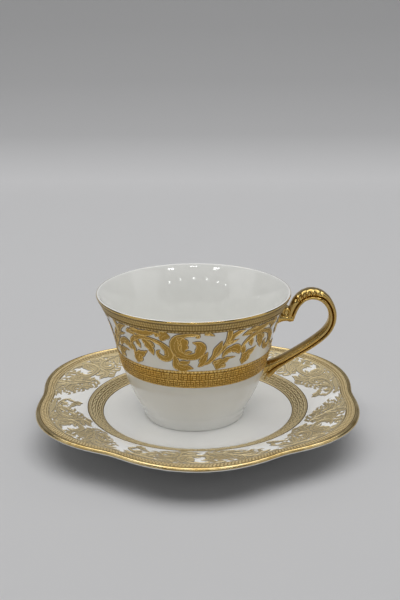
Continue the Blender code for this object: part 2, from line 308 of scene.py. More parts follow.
def mottle(mat, scale, colors, rough_range, bump=0.0, bump_distance=0.05 * MM, stretch=(1, 1, 1)):
    """Clouds the colour and the gloss, and lifts a fine grain, all on object coordinates."""
    tree = mat.node_tree
    shader = tree.nodes["Principled BSDF"]
    place = node(mat, "ShaderNodeTexCoord")
    fit = node(mat, "ShaderNodeMapping")
    fit.inputs["Scale"].default_value = stretch
    noise = node(mat, "ShaderNodeTexNoise", Scale=scale, Detail=5.0, Roughness=0.6)
    tree.links.new(place.outputs["Object"], fit.inputs["Vector"])
    tree.links.new(fit.outputs["Vector"], noise.inputs["Vector"])
    ramp = node(mat, "ShaderNodeValToRGB")
    ramp.color_ramp.elements[0].position = 0.3
    ramp.color_ramp.elements[0].color = (*colors[0], 1)
    ramp.color_ramp.elements[1].position = 0.7
    ramp.color_ramp.elements[1].color = (*colors[1], 1)
    tree.links.new(noise.outputs["Fac"], ramp.inputs["Fac"])
    tree.links.new(ramp.outputs["Color"], shader.inputs["Base Color"])
    gloss = node(mat, "ShaderNodeMapRange")
    gloss.inputs["To Min"].default_value = rough_range[0]
    gloss.inputs["To Max"].default_value = rough_range[1]
    tree.links.new(noise.outputs["Fac"], gloss.inputs["Value"])
    tree.links.new(gloss.outputs["Result"], shader.inputs["Roughness"])
    if bump:
        lift = node(mat, "ShaderNodeBump", Strength=bump, Distance=bump_distance)
        tree.links.new(noise.outputs["Fac"], lift.inputs["Height"])
        tree.links.new(lift.outputs["Normal"], shader.inputs["Normal"])
    return mat


def make_finishes():
    glaze = new_material("white_glaze", (0.76, 0.76, 0.73), 0.06, Coat_Weight=0.4, Coat_Roughness=0.03)
    mottle(glaze, 60, ((0.75, 0.75, 0.72), (0.78, 0.78, 0.75)), (0.05, 0.09), 0.02, 0.02 * MM)
    # painted light: the saucer's glaze is a lighter copy of the cup's white glaze, to brighten the saucer's
    # well
    lit_saucer_glaze = new_material(
        "white_saucer_glaze_painted_light", (0.89, 0.89, 0.87), 0.06, Coat_Weight=0.4, Coat_Roughness=0.03)
    mottle(lit_saucer_glaze, 50, ((0.88, 0.88, 0.855), (0.91, 0.91, 0.89)), (0.05, 0.09), 0.02, 0.02 * MM)
    polished = new_material("polished_gold", (0.66, 0.47, 0.16), 0.11, 1.0)
    mottle(polished, 350, ((0.61, 0.43, 0.135), (0.71, 0.51, 0.19)), (0.09, 0.14), 0.02, 0.02 * MM)
    satin = new_material("satin_gold", (0.62, 0.43, 0.15), 0.24, 1.0)
    mottle(satin, 350, ((0.57, 0.39, 0.125), (0.67, 0.47, 0.175)), (0.20, 0.28), 0.02, 0.02 * MM)
    bright = new_material("bright_gold_line", (0.66, 0.50, 0.21), 0.28, 1.0)
    mottle(bright, 1500, ((0.60, 0.44, 0.175), (0.73, 0.56, 0.26)), (0.22, 0.34), 0.1, 0.03 * MM)
    deep = new_material("deep_gold_fill", (0.41, 0.275, 0.075), 0.42, 1.0)
    mottle(deep, 2600, ((0.34, 0.22, 0.055), (0.48, 0.33, 0.10)), (0.36, 0.5), 0.35, 0.05 * MM)
    rich = new_material("rich_gold", (0.595, 0.396, 0.113), 0.28, 1.0)
    mottle(rich, 1500, ((0.502, 0.322, 0.081), (0.688, 0.469, 0.153)), (0.22, 0.34), 0.15, 0.03 * MM)
    base = new_material("fret_ground_gold", (0.27, 0.165, 0.04), 0.4, 1.0)
    mottle(base, 2600, ((0.21, 0.125, 0.028), (0.34, 0.21, 0.055)), (0.34, 0.48), 0.3, 0.05 * MM)
    soft = new_material("soft_gold", (0.31, 0.235, 0.105), 0.36, 1.0)
    mottle(soft, 1800, ((0.26, 0.195, 0.08), (0.36, 0.28, 0.13)), (0.3, 0.42), 0.2, 0.03 * MM)
    soft_bar = new_material("soft_gold_bar", (0.52, 0.41, 0.20), 0.34, 1.0)
    mottle(soft_bar, 1800, ((0.45, 0.345, 0.16), (0.60, 0.48, 0.25)), (0.28, 0.42), 0.2, 0.03 * MM)
    light = new_material("light_gold", (0.845, 0.714, 0.431), 0.42, 0.75)
    mottle(light, 2200, ((0.787, 0.658, 0.378), (0.902, 0.78, 0.502)), (0.36, 0.5), 0.2, 0.04 * MM)
    rim = new_material("rim_gold", (0.703, 0.522, 0.234), 0.3, 1.0)
    mottle(rim, 900, ((0.589, 0.414, 0.164), (0.798, 0.63, 0.312)), (0.24, 0.38), 0.2, 0.04 * MM)
    fret_light = new_material("fret_light_gold", (0.744, 0.605, 0.336), 0.42, 0.6)
    mottle(fret_light, 2200, ((0.688, 0.543, 0.288), (0.8, 0.667, 0.392)), (0.36, 0.5), 0.2, 0.04 * MM)
    fret_shade = new_material("fret_shaded_gold", (0.342, 0.252, 0.116), 0.42, 0.6)
    mottle(fret_shade, 1800, ((0.285, 0.207, 0.088), (0.408, 0.306, 0.148)), (0.36, 0.48), 0.2, 0.03 * MM)
    # painted shade: a near-black gold for the handle's groove, in place of the shadow that falls in it
    slit_shade = new_material("dark_slit_painted_shade", (0.07, 0.045, 0.015), 0.4, 0.5)
    mottle(slit_shade, 900, ((0.05, 0.03, 0.01), (0.10, 0.065, 0.025)), (0.35, 0.5))
    # painted reflections: the edge gold's colour swings from dark to bright in large patches, standing in
    # for broken glints along the lobed edge
    edge_glint_gold = new_material("edge_gold_painted_glints", (0.72, 0.54, 0.24), 0.16, 1.0)
    mottle(edge_glint_gold, 160, ((0.50, 0.34, 0.11), (0.86, 0.70, 0.38)), (0.12, 0.3), 0.45, 0.3 * MM)
    pale = new_material("pale_gold", (0.707, 0.582, 0.336), 0.42, 0.75)
    mottle(pale, 2200, ((0.632, 0.51, 0.277), (0.781, 0.655, 0.403)), (0.36, 0.5), 0.25, 0.04 * MM)
    # painted shade: a darker copy of the pale gold, for the fill of the leaves beneath
    ground = new_material("shadowed_gold", (0.558, 0.453, 0.248), 0.42, 0.75)
    mottle(ground, 1800, ((0.495, 0.396, 0.208), (0.621, 0.51, 0.296)), (0.36, 0.48), 0.2, 0.03 * MM)
    # umber and taupe outlines: printed lines round the leaves, also standing in as painted shadow at the
    # foot of each raised leaf
    umber = new_material("umber_outline_painted_shadow", (0.17, 0.14, 0.10), 0.5)
    mottle(umber, 1200, ((0.14, 0.115, 0.08), (0.21, 0.175, 0.13)), (0.45, 0.6))
    taupe = new_material("taupe_outline_painted_shadow", (0.30, 0.26, 0.195), 0.5)
    mottle(taupe, 1200, ((0.25, 0.215, 0.155), (0.35, 0.305, 0.235)), (0.45, 0.6))
    dark = new_material("dark_gold_line", (0.20, 0.13, 0.04), 0.4, 1.0)
    mottle(dark, 1500, ((0.16, 0.10, 0.025), (0.26, 0.175, 0.06)), (0.35, 0.5))
    return dict(
        glaze=glaze, lit_saucer_glaze=lit_saucer_glaze, polished=polished, satin=satin, bright=bright, deep=deep,
        rich=rich, base=base, soft=soft, soft_bar=soft_bar, light=light, rim=rim, edge_glint_gold=edge_glint_gold,
        slit_shade=slit_shade, fret_light=fret_light, fret_shade=fret_shade, pale=pale, ground=ground,
        umber=umber, taupe=taupe, dark=dark,
    )


# ---- Porcelain ------------------------------------------------------------------------------

def make_saucer(finish):
    edge = SAUCER_R - 0.35 * MM
    lip = 1.0 * MM
    top = [(r, saucer_height(r)) for r in np.linspace(edge - lip, WELL_FLAT_R, 40)]
    nose_z = saucer_height(edge) - lip
    turns = np.linspace(pi / 2 - 0.2, -pi / 2, 9)
    nose = [(edge - lip + lip * cos(a), nose_z + lip * sin(a)) for a in turns]
    under = smooth_line(
        (
            (edge - lip, nose_z - lip),
            (66.0 * MM, 10.6 * MM),
            (54.0 * MM, 7.8 * MM),
            (49.0 * MM, 5.0 * MM),
            (46.2 * MM, 2.2 * MM),
            (45.2 * MM, 0.7 * MM),
        ),
        5,
    )[1:]
    foot = [(44.6 * MM, 0.15 * MM), (44.0 * MM, 0.0), (42.9 * MM, 0.0), (42.2 * MM, 0.2 * MM),
            (41.6 * MM, 1.2 * MM), (40.4 * MM, 2.2 * MM), (38.5 * MM, 2.6 * MM)]
    inside = [(r, 2.6 * MM) for r in (28 * MM, 14 * MM, 1.2 * MM)]
    well = [(r, WELL_Z) for r in (1.2 * MM, 16 * MM, 30 * MM)]
    upper = [(0.0, WELL_Z)] + well + list(reversed(top)) + nose
    lower = [tuple(p) for p in under] + foot + inside + [(0.0, 2.6 * MM)]
    obj = thrown("saucer_body", upper + lower, SAUCER_SEGMENTS, (0, 0, 0),
                 [finish["lit_saucer_glaze"]], lobes=True)
    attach(obj, "saucer")
    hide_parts("saucer_plate")


# how much fuller the wall stands near the foot: height and extra radius, in millimetres
FULLER_H = (0.0, 5.0, 6.5, 8.0, 11.0, 15.0, 20.0, 25.0)
FULLER_R = (1.75, 1.75, 1.55, 1.25, 0.75, 0.30, 0.05, 0.0)


LIP_START = CUP_H - 0.95 * MM


def on_lip(turn_angle, lift):
    """Radius and height round the lip, from the outer wall (0) over to the inner one (pi)."""
    radius = np.interp(LIP_START, WALL_HEIGHTS, WALL_RADII)
    slope = np.interp(LIP_START, WALL_HEIGHTS, WALL_SLOPES)
    norm = sqrt(1 + slope * slope)
    out, up = (1 / norm, -slope / norm), (slope / norm, 1 / norm)
    half = RIM_WALL / 2
    turn = [(half + lift) * np.cos(turn_angle) - half, (half + lift) * np.sin(turn_angle)]
    return radius + turn[0] * out[0] + turn[1] * up[0], LIP_START + turn[0] * out[1] + turn[1] * up[1]


def make_bowl(finish):
    heights = np.linspace(FOOT_RING_H, LIP_START, 46)
    # the wall runs on in a full curve almost to the foot's edge
    fuller = np.interp(heights, [h * MM for h in FULLER_H], [r * MM for r in FULLER_R])
    outer = [(np.interp(h, WALL_HEIGHTS, WALL_RADII) + extra, h) for h, extra in zip(heights, fuller)]
    lip = [tuple(on_lip(a, 0.0)) for a in np.linspace(pi, 0.25, 11)]
    inner = []
    for h in reversed(heights[9:-1]):
        share = h / CUP_H
        wall = WALL + (RIM_WALL - WALL) * share
        slope = np.interp(h, WALL_HEIGHTS, WALL_SLOPES)
        norm = sqrt(1 + slope ** 2)
        rise = 0.33 + 0.67 * share ** 4
        inner.append((np.interp(h, WALL_HEIGHTS, WALL_RADII) - wall / norm, h + rise * wall * slope / norm))
    low_r, low_z = inner[-1]
    bowl = smooth_line(
        (
            (low_r, low_z),
            (0.82 * low_r, CUP_FLOOR + 2.6 * MM),
            (0.5 * low_r, CUP_FLOOR + 0.5 * MM),
            (1.2 * MM, CUP_FLOOR),
        ),
        6,
    )
    foot = [
        (FOOT_R + 1.45 * MM, 4.2 * MM), (FOOT_R + 1.1 * MM, 3.4 * MM), (FOOT_R + 0.8 * MM, 2.6 * MM),
        (FOOT_R + 0.68 * MM, 1.9 * MM), (FOOT_R + 0.5 * MM, 0.9 * MM), (FOOT_R + 0.15 * MM, 0.2 * MM),
        (FOOT_R - 0.8 * MM, 0.0), (FOOT_R - 2.2 * MM, 0.0), (FOOT_R - 2.8 * MM, 0.3 * MM),
        (FOOT_R - 3.4 * MM, 1.6 * MM), (FOOT_R - 5.0 * MM, 2.3 * MM),
        (12.0 * MM, 2.5 * MM), (1.2 * MM, 2.5 * MM),
    ]
    profile = [(0.0, CUP_FLOOR)] + [tuple(p) for p in bowl[::-1]] + list(reversed(inner[:-1])) + lip
    profile += list(reversed(outer)) + foot + [(0.0, 2.5 * MM)]
    obj = thrown("cup_bowl_body", profile, CUP_SEGMENTS, (CUP_X, 0, FOOT_Z), [finish["glaze"]])
    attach(obj, "cup")
    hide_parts("cup_bowl")


# ---- Scrollwork -----------------------------------------------------------------------------

SAUCER_ARC = 63.0 * pi / 180  # mm on the flange for one degree


def leaf_rows(points, widths, lobes, depth, style):
    """Cross-sections of a raised leaf that follows a middle line on the flat, in millimetres.

    lobes gives how many lobes swell on its left and on its right. Each row is a closed loop of
    (along, across, lift): the outline's foot, the raised border, the fill and its back.
    """
    stretches = len(points) - 1
    per = max(4, int(6 * max(max(lobes), 1) / stretches) + 2)
    line = smooth_line(points, per)
    width = np.abs(smooth_line([(w, 0.0) for w in widths], per)[:, 0])
    width = np.maximum(width, 0.02)
    t = np.linspace(0, 1, len(line))
    way = np.gradient(line, axis=0)
    way /= np.maximum(np.hypot(way[:, 0], way[:, 1]), 1e-9)[:, None]
    side = np.stack([-way[:, 1], way[:, 0]], -1)
    lift = style["lift"]
    rows = []
    for i in range(len(line)):
        swell = []
        for count in lobes:
            if count:
                saw = (t[i] * count) % 1.0
                swell.append(1 + depth * (sin(pi * saw ** 0.7) - 0.55))
            else:
                swell.append(1.0)
        row = []
        for sign, grow in ((1, swell[0]), (-1, swell[1])):
            w = width[i] * grow
            s = min(1.0, w / (style["border"] + style["rim"] + 0.2))
            shade = style["shade"] * min(1, 0.3 + s)
            half = (
                (w + shade, -0.08),
                (w + shade, 0.02 + lift),
                (w + 0.02, 0.05 + lift),
                (w - style["rim"] * s, lift + style["ridge"] * s),
                (w - (style["rim"] + style["border"]) * s, lift + style["ridge"] * s),
                (w - (style["rim"] + style["border"] + 0.10) * s, lift + style["sunk"] * s),
            )
            row.append([(sign * x, h) for x, h in half])
        middle = (0.0, lift + style["crown"] * min(1.0, width[i] / 1.2))
        loop = row[0] + [middle] + row[1][::-1]
        rows.append([(*(line[i] + side[i] * x), h) for x, h in loop])
    return rows


# materials across a leaf: outline, raised border, fill, and the fill of the leaves beneath. The outline
# strip on the glaze round each leaf is part printed outline, part painted shadow at the leaf's foot
SHADE, RIDGE, FILL, DEEP = 0, 1, 2, 3
LEAF_SLOTS = (SHADE, SHADE, SHADE, RIDGE, RIDGE, FILL, FILL, RIDGE, RIDGE, SHADE, SHADE, SHADE, SHADE)
# the leaves beneath take each gold one step darker, pale for the border and shadowed gold for the fill:
# painted shade under the leaves on top
UNDER_SLOTS = (SHADE, SHADE, SHADE, FILL, FILL, DEEP, DEEP, FILL, FILL, SHADE, SHADE, SHADE, SHADE)


def add_leaf(store, rows, place, leaf_slots=LEAF_SLOTS):
    """Lays a leaf's rows on a surface and adds its faces, with both tips closed."""
    columns = len(rows[0])
    first = len(store["points"])
    flat = np.array(rows).reshape(-1, 3)
    store["points"].extend(place(flat))
    for i in range(len(rows) - 1):
        for j in range(columns):
            a = first + i * columns + j
            b = first + i * columns + (j + 1) % columns
            store["faces"].append((a, b, b + columns, a + columns))
            store["slots"].append(leaf_slots[j])
    last = first + (len(rows) - 1) * columns
    store["faces"].append(tuple(range(first + columns - 1, first - 1, -1)))
    store["faces"].append(tuple(range(last, last + columns)))
    store["slots"] += [SHADE, SHADE]


def sprig(points, width, leaves, reach, leaf_width, sides=(1, -1), curl=0.5, tip=0.5):
    """A leafy stem: its own stroke and the leaflets that grow off it, each as a leaf's numbers."""
    flat = [(a * SAUCER_ARC, r) for a, r in points]
    line = smooth_line(flat, 8)
    way = np.gradient(line, axis=0)
    way /= np.maximum(np.hypot(way[:, 0], way[:, 1]), 1e-9)[:, None]
    grown = []
    for side in sides:
        for i in range(leaves):
            share = (i + 0.5 + 0.2 * side) / leaves
            at = min(len(line) - 2, int(share * (len(line) - 1)))
            root, ahead = line[at], way[at]
            out = np.array((-ahead[1], ahead[0])) * side
            length = reach * (1 - (1 - tip) * share) * (1 + 0.18 * sin(2.3 * i + side))
            fat = leaf_width * (1 - 0.3 * share) * (1 + 0.15 * sin(1.7 * i + 2 * side))
            trail = [
                root,
                root + length * (0.34 * out + 0.26 * ahead),
                root + length * (0.62 * out + 0.62 * ahead),
                root + length * (0.62 * out + (0.7 + curl) * ahead),
            ]
            grown.append(([(p[0] / SAUCER_ARC, p[1]) for p in trail],
                          [0.5 * fat, fat, 0.75 * fat, 0.06], (0, 0), 0.0))
    stem = [width * (1 - 0.6 * i / (len(points) - 1)) for i in range(len(points))]
    grown.append((points, [0.3 * stem[0]] + stem[1:-1] + [0.1], (0, 0), 0.0))
    return grown


# heights and widths across a leaf, in millimetres
CUP_STYLE = dict(border=0.34, rim=0.06, shade=0.26, ridge=0.26, sunk=0.08, crown=0.15, lift=0.0)
UNDER_STYLE = dict(border=0.20, rim=0.06, shade=0.13, ridge=0.13, sunk=0.08, crown=0.12, lift=0.0)
SAUCER_STYLE = dict(border=0.26, rim=0.06, shade=0.17, ridge=0.20, sunk=0.10, crown=0.17, lift=0.10)

# each leaf: points of its middle line as (degrees round the cup, height in mm), its half widths along
# that line, how many lobes swell on its left and right, and how deep they are
CUP_LEAVES = (
    # the great C-scroll, from its upper tip round to the crescent
    (((-85.6, 54.6), (-89.5, 54.6), (-95.5, 54.2), (-99.8, 52.2), (-101.4, 48.6), (-100.2, 45.0),
      (-96.3, 43.2), (-91.0, 42.9), (-86.9, 44.2), (-85.2, 47.0), (-86.6, 49.6), (-90.8, 50.5)),
     (0.2, 0.8, 1.1, 1.8, 2.6, 2.3, 1.6, 1.5, 1.9, 2.3, 1.5, 0.1), (7, 5), 0.16),
    (((-100.0, 53.0), (-97.2, 51.6), (-96.4, 49.0), (-96.9, 46.4), (-94.9, 44.9)),
     (0.6, 1.9, 2.1, 1.5, 0.1), (4, 2), 0.34),
    (((-95.4, 44.2), (-93.4, 45.4), (-90.6, 45.5)), (0.4, 0.8, 0.1), (0, 2), 0.2),
    # the leaf that hangs from it
    (((-102.6, 44.4), (-102.2, 41.4), (-100.8, 38.2), (-97.4, 37.0), (-93.6, 37.3), (-90.0, 36.8)),
     (0.3, 1.2, 2.1, 1.9, 1.2, 0.1), (3, 4), 0.28),
    (((-100.4, 39.4), (-96.8, 39.9), (-94.2, 39.9), (-92.4, 41.0)), (0.5, 1.1, 0.8, 0.1), (2, 0), 0.25),
    # the S-scroll on the left, from its stem to the curl
    (((-137.0, 44.2), (-133.4, 47.6), (-128.0, 50.2), (-121.6, 50.9), (-115.4, 50.2), (-110.4, 48.6),
      (-106.9, 46.0), (-106.2, 43.0), (-109.0, 41.4), (-112.6, 42.0), (-114.2, 44.2), (-112.0, 45.6)),
     (0.1, 1.0, 1.1, 0.9, 0.9, 1.3, 1.8, 1.9, 1.5, 1.2, 0.8, 0.1), (2, 9), 0.24),
    (((-124.4, 50.2), (-121.4, 48.2), (-119.0, 45.4), (-117.4, 42.0)), (0.4, 1.8, 1.7, 0.1), (3, 3), 0.3),
    (((-120.0, 49.6), (-117.4, 48.0), (-115.8, 46.2)), (0.3, 0.9, 0.1), (0, 2), 0.3),
    (((-130.4, 49.6), (-128.6, 47.2), (-127.0, 44.4)), (0.4, 1.3, 0.1), (2, 2), 0.25),
    (((-136.0, 46.4), (-134.0, 43.8), (-133.4, 41.0)), (0.4, 1.4, 0.1), (2, 2), 0.3),
    # the bud and its tendril
    (((-122.0, 44.0), (-124.6, 42.6), (-128.4, 41.2), (-131.6, 39.2), (-133.2, 36.0)),
     (0.1, 0.8, 1.9, 2.6, 0.2), (4, 5), 0.35),
    (((-128.6, 41.2), (-129.2, 38.8), (-129.0, 37.0)), (0.5, 1.1, 0.1), (2, 2), 0.3),
    # leaves under the rim band
    (((-105.2, 54.6), (-108.4, 53.2), (-110.6, 50.2)), (1.6, 2.3, 0.1), (3, 4), 0.35),
    (((-110.0, 54.4), (-112.4, 53.6), (-113.6, 52.2)), (0.8, 1.1, 0.1), (2, 0), 0.35),
    (((-112.6, 54.9), (-118.0, 53.9), (-123.0, 53.2), (-129.0, 53.4), (-135.0, 52.0)),
     (0.2, 1.3, 1.5, 1.3, 0.1), (0, 5), 0.3),
    (((-83.4, 55.0), (-79.8, 54.7), (-77.0, 53.4)), (0.6, 0.7, 0.1), (0, 2), 0.3),
    (((-87.2, 54.6), (-87.0, 53.4), (-88.8, 52.9)), (0.5, 0.7, 0.1), (0, 0), 0.0),
    # the stem on the right with its leaves
    (((-87.2, 37.6), (-84.4, 39.4), (-83.4, 41.8), (-80.6, 45.2)), (0.1, 1.3, 1.6, 0.2), (3, 2), 0.22),
    (((-84.4, 38.4), (-80.0, 39.9), (-76.4, 42.6), (-74.0, 46.2), (-71.9, 50.4)),
     (0.1, 0.8, 1.2, 1.9, 0.25), (0, 2), 0.12),
    (((-77.0, 41.2), (-72.6, 44.4), (-69.4, 47.8), (-67.7, 51.2), (-67.6, 55.4)),
     (0.1, 0.8, 1.0, 1.1, 1.2), (0, 3), 0.12),
    (((-69.4, 48.2), (-66.0, 50.8), (-62.6, 53.5), (-56.6, 54.6)), (0.3, 1.1, 1.2, 0.1), (3, 2), 0.3),
    (((-69.6, 47.6), (-65.4, 49.0), (-60.0, 50.1)), (0.3, 0.8, 0.1), (0, 2), 0.25),
    # the arching leaf and the palmette under it
    (((-70.6, 41.4), (-68.6, 43.9), (-64.6, 45.6), (-60.4, 45.0), (-57.6, 42.0)),
     (0.2, 1.1, 1.6, 1.9, 0.1), (2, 6), 0.3),
    (((-60.6, 41.0), (-65.4, 41.0), (-69.2, 39.8), (-72.4, 38.2), (-74.2, 35.6)),
     (0.1, 0.6, 1.6, 2.4, 0.3), (4, 4), 0.4),
    (((-72.4, 39.6), (-75.0, 39.8), (-77.2, 38.6)), (0.5, 1.0, 0.1), (2, 2), 0.3),
    (((-71.2, 37.8), (-69.0, 37.2), (-67.6, 38.2)), (0.5, 0.9, 0.1), (2, 2), 0.3),
    (((-58.4, 51.4), (-54.2, 52.4), (-49.8, 51.0)), (0.1, 1.3, 0.1), (3, 3), 0.3),
    (((-53.8, 53.8), (-50.0, 54.6), (-46.0, 54.0)), (0.1, 0.8, 0.1), (2, 2), 0.3),
)
# each vein: points of its line, and its half width
CUP_VEINS = (
    (((-97.2, 53.6), (-100.8, 51.2), (-102.2, 48.2), (-100.9, 45.0), (-96.3, 43.3), (-91.0, 42.8),
      (-87.2, 44.4)), 0.17),
    (((-98.6, 52.0), (-97.4, 49.6), (-97.4, 46.8)), 0.14),
    (((-99.9, 50.6), (-99.6, 48.0), (-98.4, 45.4)), 0.14),
    (((-86.2, 45.4), (-85.0, 47.6), (-86.6, 49.6)), 0.15),
    (((-122.4, 48.8), (-119.8, 45.8), (-118.0, 43.2)), 0.15),
    (((-102.0, 42.0), (-100.6, 38.6), (-97.2, 37.2), (-92.6, 37.2)), 0.15),
    (((-107.0, 46.6), (-106.4, 43.4), (-109.0, 41.8), (-112.2, 42.4)), 0.15),
    (((-116.0, 50.2), (-111.0, 48.6), (-107.8, 46.6)), 0.14),
    (((-127.6, 41.4), (-131.2, 39.2), (-132.8, 37.0)), 0.15),
    (((-130.2, 41.4), (-132.8, 40.4), (-134.6, 39.0)), 0.13),
    (((-106.2, 54.2), (-108.6, 53.0), (-110.2, 51.0)), 0.15),
    (((-67.6, 40.4), (-71.8, 38.6), (-73.6, 36.4)), 0.15),
    (((-67.4, 44.6), (-63.6, 45.6), (-60.6, 44.8), (-58.8, 43.2)), 0.15),
    (((-78.4, 41.2), (-75.2, 44.4), (-73.0, 48.6)), 0.14),
    (((-84.8, 39.4), (-83.2, 42.0), (-81.2, 44.2)), 0.14),
    (((-67.8, 48.6), (-67.6, 51.4), (-67.6, 54.6)), 0.14),
    (((-131.0, 49.4), (-124.0, 51.0), (-117.0, 50.6)), 0.14),
)
CUP_REPEAT = 79.0  # degrees from one scroll to the next
HANDLE_CLEAR = 8.0  # degrees kept bare on each side of the handle
ARC = 38.5 * pi / 180  # mm on the wall for one degree


def cup_place(turn):
    """Lays flat leaf points on the cup's wall, turned round it."""
    def place(flat):
        angle = np.radians(flat[:, 0] / ARC + turn)
        return on_cup(angle, flat[:, 1] * MM, flat[:, 2] * MM)
    return place


def clear_of_handle(points, turn, width):
    """Whether a leaf keeps to the wall between the two sides of the handle."""
    angles = [p[0] + turn for p in points]
    margin = width / ARC + 0.5
    return min(angles) - margin > -360 + HANDLE_CLEAR and max(angles) + margin < -HANDLE_CLEAR


def add_vein(store, points, width, lift, place, slot=RIDGE):
    """A fine raised line down the middle of a leaf."""
    line = smooth_line(points, 6)
    way = np.gradient(line, axis=0)
    way /= np.hypot(way[:, 0], way[:, 1])[:, None]
    side = np.stack([-way[:, 1], way[:, 0]], -1)
    first = len(store["points"])
    flat = []
    for i, (point, across) in enumerate(zip(line, side)):
        w = width * (0.4 + 0.6 * sin(pi * (i + 0.5) / len(line)))
        for x, h in ((w, 0.03), (0.5 * w, lift), (-0.5 * w, lift), (-w, 0.03)):
            flat.append((*(point + across * x), h))
    store["points"].extend(place(np.array(flat)))
    for i in range(len(line) - 1):
        for j in range(4):
            a = first + 4 * i + j
            b = first + 4 * i + (j + 1) % 4
            store["faces"].append((a, b, b + 4, a + 4))
            store["slots"].append(slot)
    last = first + 4 * (len(line) - 1)
    store["faces"].append((first + 3, first + 2, first + 1, first))
    store["faces"].append((last, last + 1, last + 2, last + 3))
    store["slots"] += [slot, slot]


def make_cup_scroll(finish):
    store = dict(points=[], faces=[], slots=[])
    for k in range(-3, 3):
        turn = k * CUP_REPEAT
        for points, widths, lobes, depth in CUP_LEAVES:
            if not clear_of_handle(points, turn, max(widths)):
                continue
            flat = [(p[0] * ARC, p[1]) for p in points]
            add_leaf(store, leaf_rows(flat, widths, lobes, depth, CUP_STYLE), cup_place(turn))
        for points, width in CUP_VEINS:
            if clear_of_handle(points, turn, width):
                add_vein(store, [(p[0] * ARC, p[1]) for p in points], width, 0.26, cup_place(turn))
    obj = new_object("cup_scrollwork", store["points"], store["faces"],
                     [finish["umber"], finish["bright"], finish["deep"]], store["slots"])
    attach(obj, "cup")
    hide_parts("cup_scroll_1", "cup_scroll_2", "cup_scroll_3", "cup_scroll_4")


# ---- Bands ----------------------------------------------------------------------------------

CENTRES = {"cup": (CUP_X, 0.0, FOOT_Z), "saucer": (0.0, 0.0, 0.0)}
LOBE_MIDDLE = radians(30)  # here a saucer's band has its full radius


def turned_point(surface, body, across, lift):
    """Radius and height, from its body's centre, of a point of a turned surface."""
    x, y, z = surface(np.array([LOBE_MIDDLE]), np.array([across]), np.array([lift]))[0]
    return hypot(x - CENTRES[body][0], y - CENTRES[body][1]), z - CENTRES[body][2]


def band_on(name, surface, along, rows, body, replaced, materials):
    """A closed band thrown like the piece it lies on. rows are (place across, lift, material index)."""
    profile = [turned_point(surface, body, across, lift) for across, lift, _ in rows]
    obj = thrown(name, profile, along, CENTRES[body], materials, lobes=body == "saucer")
    for polygon in obj.data.polygons:
        polygon.material_index = rows[min(polygon.index // along, len(rows) - 1)][2]
    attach(obj, body)
    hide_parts(replaced)


def joined(obj, others):
    """Joins copies into the piece they were copied from, with its place in its mesh."""
    bpy.ops.object.select_all(action="DESELECT")
    for each in [obj, *others]:
        each.select_set(True)
    bpy.context.view_layer.objects.active = obj
    if others:
        bpy.ops.object.join()
    bpy.ops.object.transform_apply(location=True, rotation=True, scale=True)
    return obj


def studs(name, surface, body, cells, count, low, high, lift, material):
    """Small raised bars in a pattern that repeats round a band.

    Each bar is (start and end along the cell, start and end across the band), from 0 to 1. One cell
    is made from bevelled blocks, then copied all the way round.
    """
    pitch = 2 * pi / count
    centre = Vector(CENTRES[body])
    bars = []
    for along_0, along_1, across_0, across_1 in cells:
        start = low + across_0 * (high - low)
        end = low + across_1 * (high - low)
        foot_r, foot_z = turned_point(surface, body, (start + end) / 2, 0.0)
        top_r, top_z = turned_point(surface, body, (start + end) / 2, lift)
        start_r, start_z = turned_point(surface, body, start, 0.0)
        end_r, end_z = turned_point(surface, body, end, 0.0)
        turn = LOBE_MIDDLE + pitch * (along_0 + along_1) / 2
        middle_r = (foot_r + top_r) / 2
        place = Vector((middle_r * cos(turn), middle_r * sin(turn), (foot_z + top_z) / 2))
        long_way = hypot(start_r - end_r, start_z - end_z)
        bpy.ops.mesh.primitive_cube_add(
            size=1,
            location=centre + place,
            rotation=(0, atan2(foot_z - top_z, top_r - foot_r), turn),
            scale=(lift * 1.2, (along_1 - along_0) * pitch * foot_r, long_way))
        bar = bpy.context.active_object
        bpy.ops.object.transform_apply(location=True, rotation=True, scale=True)
        bpy.ops.object.mode_set(mode="EDIT")
        bpy.ops.mesh.select_all(action="SELECT")
        bpy.ops.mesh.bevel(offset=0.35 * lift, segments=1)
        bpy.ops.object.mode_set(mode="OBJECT")
        bars.append(bar)
    cell = joined(bars[0], bars[1:])
    cell.name = name
    cell.data.name = name
    twins = []
    for i in range(1, count):
        twin = cell.copy()
        twin.data = cell.data.copy()
        turned = Matrix.Rotation(i * pitch, 4, "Z")
        twin.matrix_world = Matrix.Translation(centre) @ turned @ Matrix.Translation(-centre)
        bpy.context.scene.collection.objects.link(twin)
        twins.append(twin)
    obj = joined(cell, twins)
    if body == "saucer":
        lobed(obj)
    obj.data.materials.append(material)
    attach(obj, body)


# patterns of bars, each as (start and end along the cell, start and end across the band)
RIM_BARS = (
    (0.08, 0.42, 0.54, 0.95), (0.58, 0.92, 0.54, 0.95), (0.08, 0.42, 0.05, 0.44), (0.58, 0.92, 0.05, 0.44),
)
KEYS = (
    (0.03, 0.60, 0.86, 0.98), (0.70, 0.95, 0.86, 0.98), (0.03, 0.14, 0.56, 0.84), (0.23, 0.60, 0.70, 0.80),
    (0.70, 0.81, 0.56, 0.84), (0.86, 0.95, 0.56, 0.80), (0.23, 0.60, 0.55, 0.64), (0.03, 0.45, 0.37, 0.48),
    (0.53, 0.95, 0.37, 0.48), (0.34, 0.45, 0.04, 0.35), (0.03, 0.26, 0.21, 0.30), (0.53, 0.64, 0.04, 0.30),
    (0.72, 0.95, 0.21, 0.30), (0.03, 0.26, 0.04, 0.14), (0.72, 0.95, 0.04, 0.14),
)
ROPE = ((0.05, 0.62, 0.52, 0.98), (0.40, 0.97, 0.02, 0.46))
RIB = ((0.2, 0.8, 0, 1),)


